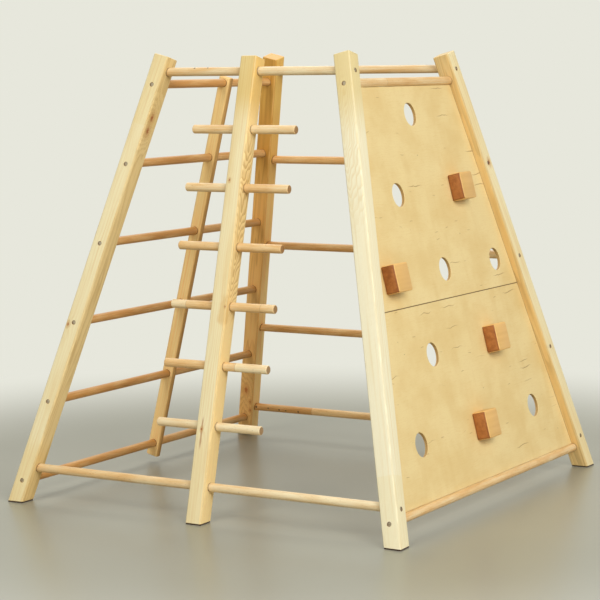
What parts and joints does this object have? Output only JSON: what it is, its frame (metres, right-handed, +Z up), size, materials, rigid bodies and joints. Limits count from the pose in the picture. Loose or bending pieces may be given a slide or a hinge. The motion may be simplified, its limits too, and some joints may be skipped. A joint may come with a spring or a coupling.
{
  "type": "climbing tower",
  "caption": "Four-sided wooden climbing tower for small children: leaning posts, round rungs, cross pegs and a plywood wall with grip holes and hold blocks.",
  "frame": {"origin": "on the floor under the middle of the tower", "axes": "+X to the right along the front, from the rung side to the plywood wall; +Y from the front with the cross pegs to the back; +Z up"},
  "size_m": [1.1362, 1.1362, 1.1346],
  "materials": {
    "pine": "planed pale pine with eased edges, clear satin oil",
    "warm_pine": "planed warm-toned pine with eased edges, clear satin oil",
    "beech": "smooth turned dowel, clear satin oil",
    "birch_plywood": "sanded birch plywood, clear satin oil",
    "oiled_hardwood": "oiled hardwood with rounded edges",
    "steel": "zinc-plated countersunk wood screws",
    "felt": "dark brown felt foot pads"
  },
  "bodies": {
    "root": {"back_rung_1": "beech", "back_rung_2": "beech", "back_rung_3": "beech", "back_rung_4": "beech", "back_rung_5": "beech", "foot_pad_back_left": "felt", "foot_pad_back_right": "felt", "foot_pad_front_left": "felt", "foot_pad_front_middle": "felt", "foot_pad_front_right": "felt", "front_rung_1": "beech", "front_rung_2": "beech", "hold_block_1": "oiled_hardwood", "hold_block_2": "oiled_hardwood", "hold_block_3": "oiled_hardwood", "hold_block_4": "oiled_hardwood", "lath_left": "warm_pine", "left_rung_1": "beech", "left_rung_2": "beech", "left_rung_3": "beech", "left_rung_4": "beech", "left_rung_5": "beech", "left_rung_6": "beech", "panel_lower": "birch_plywood", "panel_upper": "birch_plywood", "peg_1": "beech", "peg_2": "beech", "peg_3": "beech", "peg_4": "beech", "peg_5": "beech", "peg_6": "beech", "post_back_left": "warm_pine", "post_back_right": "pine", "post_front_left": "pine", "post_front_middle": "pine", "post_front_right": "pine", "right_rung_1": "beech", "right_rung_2": "beech", "screw_back_right_back_1": "steel", "screw_back_right_back_2": "steel", "screw_back_right_right_1": "steel", "screw_back_right_right_2": "steel", "screw_back_right_right_3": "steel", "screw_back_right_right_4": "steel", "screw_back_right_right_5": "steel", "screw_front_left_front_1": "steel", "screw_front_left_front_2": "steel", "screw_front_left_front_3": "steel", "screw_front_left_front_4": "steel", "screw_front_left_front_5": "steel", "screw_front_left_front_6": "steel", "screw_front_left_left_1": "steel", "screw_front_left_left_2": "steel", "screw_front_right_front_1": "steel", "screw_front_right_front_2": "steel", "screw_front_right_right_1": "steel", "screw_front_right_right_2": "steel"}
  },
  "joints": []
}
